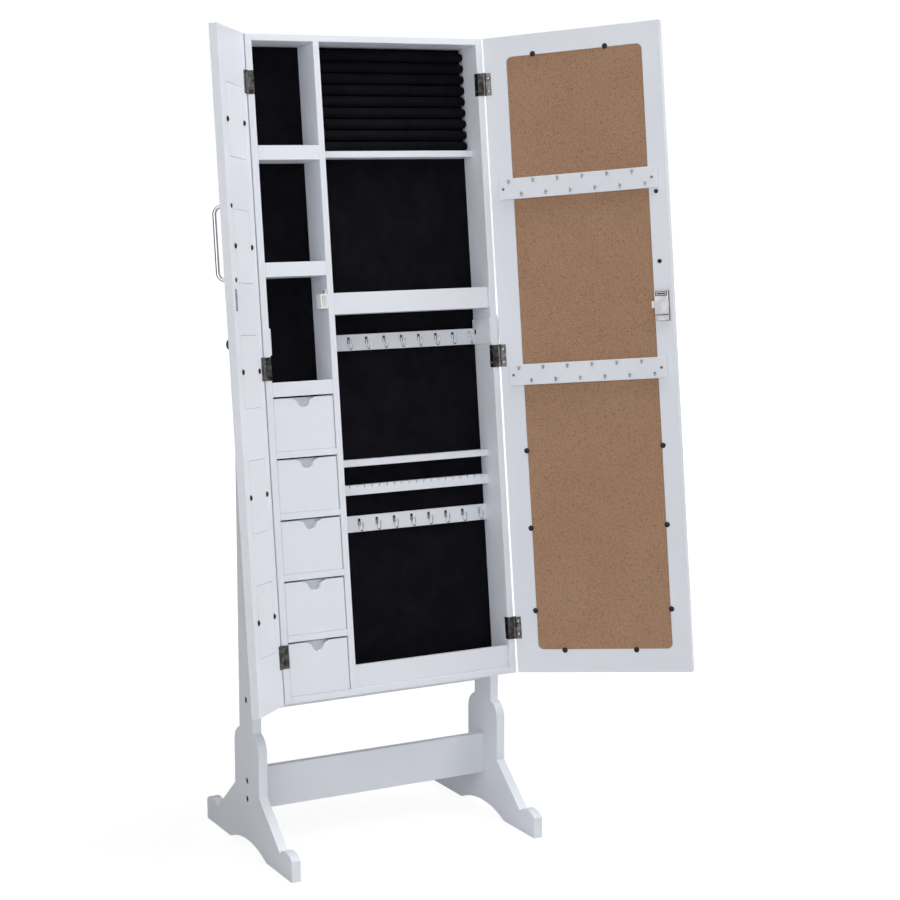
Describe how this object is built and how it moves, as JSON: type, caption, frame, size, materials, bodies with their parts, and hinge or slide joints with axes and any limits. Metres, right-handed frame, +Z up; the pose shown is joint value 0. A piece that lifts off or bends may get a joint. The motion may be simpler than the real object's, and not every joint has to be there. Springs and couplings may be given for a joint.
{
  "type": "jewelry armoire",
  "caption": "Free-standing leaning jewelry cabinet on a tilting stand, with a mirror and cork door, a picture-frame door, drawers, shelves and hook strips.",
  "frame": {"origin": "on the floor, under the middle of the whole piece as it stands with both doors open", "axes": "+X to the right seen from the front, +Y to the back, +Z up"},
  "size_m": [0.8327, 0.5928, 1.5319],
  "materials": {
    "white_board": "satin white lacquer on medium density fibreboard",
    "velvet": "black velvet",
    "cork": "fine-grained cork",
    "mirror_glass": "polished",
    "clear_glass": "clear",
    "photo_card": "white hardboard",
    "bright_metal": "polished chrome plate",
    "dark_metal": "antique nickel plate",
    "black_metal": "black oxide",
    "white_plastic": "moulded white",
    "dark_plastic": "moulded dark grey"
  },
  "bodies": {
    "stand": {"left_upright": "white_board", "right_upright": "white_board", "crossbar": "white_board", "stop_rail": "white_board", "stand_bolts": "black_metal", "pivot_washers": "white_plastic"},
    "left_knob": {"left_tilt_knob": "dark_plastic"},
    "right_knob": {"right_tilt_knob": "dark_plastic"},
    "case": {"left_side": "white_board", "right_side": "white_board", "top_panel": "white_board", "bottom_panel": "white_board", "divider": "white_board", "back_panel": "white_board", "velvet_lining": "velvet", "cubby_shelves": "white_board", "drawer_rails": "white_board", "ring_shelf": "white_board", "ring_rolls": "velvet", "bottle_shelf": "white_board", "bottle_shelf_lip": "white_board", "upper_earring_strip": "white_board", "lower_earring_strip": "white_board", "earring_hooks": "bright_metal", "earring_ledge": "white_board", "slotted_bar": "white_board", "bottom_tray_lip": "white_board", "magnetic_catch": "white_plastic", "pivot_plates": "white_board", "case_hinge_leaves": "dark_metal", "hinge_pins": "dark_metal", "case_screws": "dark_metal"},
    "left_door": {"left_door_frame": "white_board", "photo_glass": "clear_glass", "photo_backings": "photo_card", "left_door_pull": "bright_metal", "left_door_screws": "black_metal", "left_hinge_leaves": "dark_metal", "strike_plate": "bright_metal"},
    "right_door": {"right_door_frame": "white_board", "mirror": "mirror_glass", "cork_board": "cork", "door_hook_rails": "white_board", "necklace_hooks": "bright_metal", "right_door_pull": "bright_metal", "right_door_screws": "black_metal", "right_hinge_leaves": "dark_metal", "lock_case": "bright_metal"},
    "key_plug": {"lock_key_plug": "bright_metal"},
    "bolt": {"lock_bolt": "white_plastic"},
    "drawer_1": {"drawer_1_front": "white_board", "drawer_1_tray": "white_board"},
    "drawer_2": {"drawer_2_front": "white_board", "drawer_2_tray": "white_board"},
    "drawer_3": {"drawer_3_front": "white_board", "drawer_3_tray": "white_board"},
    "drawer_4": {"drawer_4_front": "white_board", "drawer_4_tray": "white_board"},
    "drawer_5": {"drawer_5_front": "white_board", "drawer_5_tray": "white_board"}
  },
  "joints": [
    {"name": "case_tilt", "type": "hinge", "parent": "stand", "child": "case", "pos_m": [-0.06715, 0.09241, 0.9502], "axis": [-1, 0, 0], "range_deg": [-4, 11]},
    {"name": "left_knob_turn", "type": "hinge", "parent": "stand", "child": "left_knob", "pos_m": [-0.32715, 0.09241, 0.9502], "axis": [-1, 0, 0], "range_deg": [0, 360]},
    {"name": "right_knob_turn", "type": "hinge", "parent": "stand", "child": "right_knob", "pos_m": [0.19285, 0.09241, 0.9502], "axis": [1, 0, 0], "range_deg": [0, 360]},
    {"name": "left_door_swing", "type": "hinge", "parent": "case", "child": "left_door", "pos_m": [-0.30815, 0.02559, 0.90593], "axis": [0, -0.1205, -0.9927], "range_deg": [-131.4, 0]},
    {"name": "right_door_swing", "type": "hinge", "parent": "case", "child": "right_door", "pos_m": [0.17385, 0.02559, 0.90593], "axis": [0, 0.1205, 0.9927], "range_deg": [-132.3, 0]},
    {"name": "key_turn", "type": "hinge", "parent": "right_door", "child": "key_plug", "pos_m": [0.40105, -0.1888, 1.01455], "axis": [0.7396, 0.6681, -0.0811], "range_deg": [0, 90]},
    {"name": "bolt_slide", "type": "slide", "parent": "right_door", "child": "bolt", "axis": [0.673, -0.7342, 0.0891], "range_m": [0, 0.009]},
    {"name": "drawer_1_slide", "type": "slide", "parent": "case", "child": "drawer_1", "axis": [0, -0.9927, 0.1205], "range_m": [0, 0.045]},
    {"name": "drawer_2_slide", "type": "slide", "parent": "case", "child": "drawer_2", "axis": [0, -0.9927, 0.1205], "range_m": [0, 0.045]},
    {"name": "drawer_3_slide", "type": "slide", "parent": "case", "child": "drawer_3", "axis": [0, -0.9927, 0.1205], "range_m": [0, 0.045]},
    {"name": "drawer_4_slide", "type": "slide", "parent": "case", "child": "drawer_4", "axis": [0, -0.9927, 0.1205], "range_m": [0, 0.045]},
    {"name": "drawer_5_slide", "type": "slide", "parent": "case", "child": "drawer_5", "axis": [0, -0.9927, 0.1205], "range_m": [0, 0.045]}
  ],
  "couplings": [
    {"joint": "bolt_slide", "follows": "key_turn", "m_per_rad": 0.00572}
  ]
}
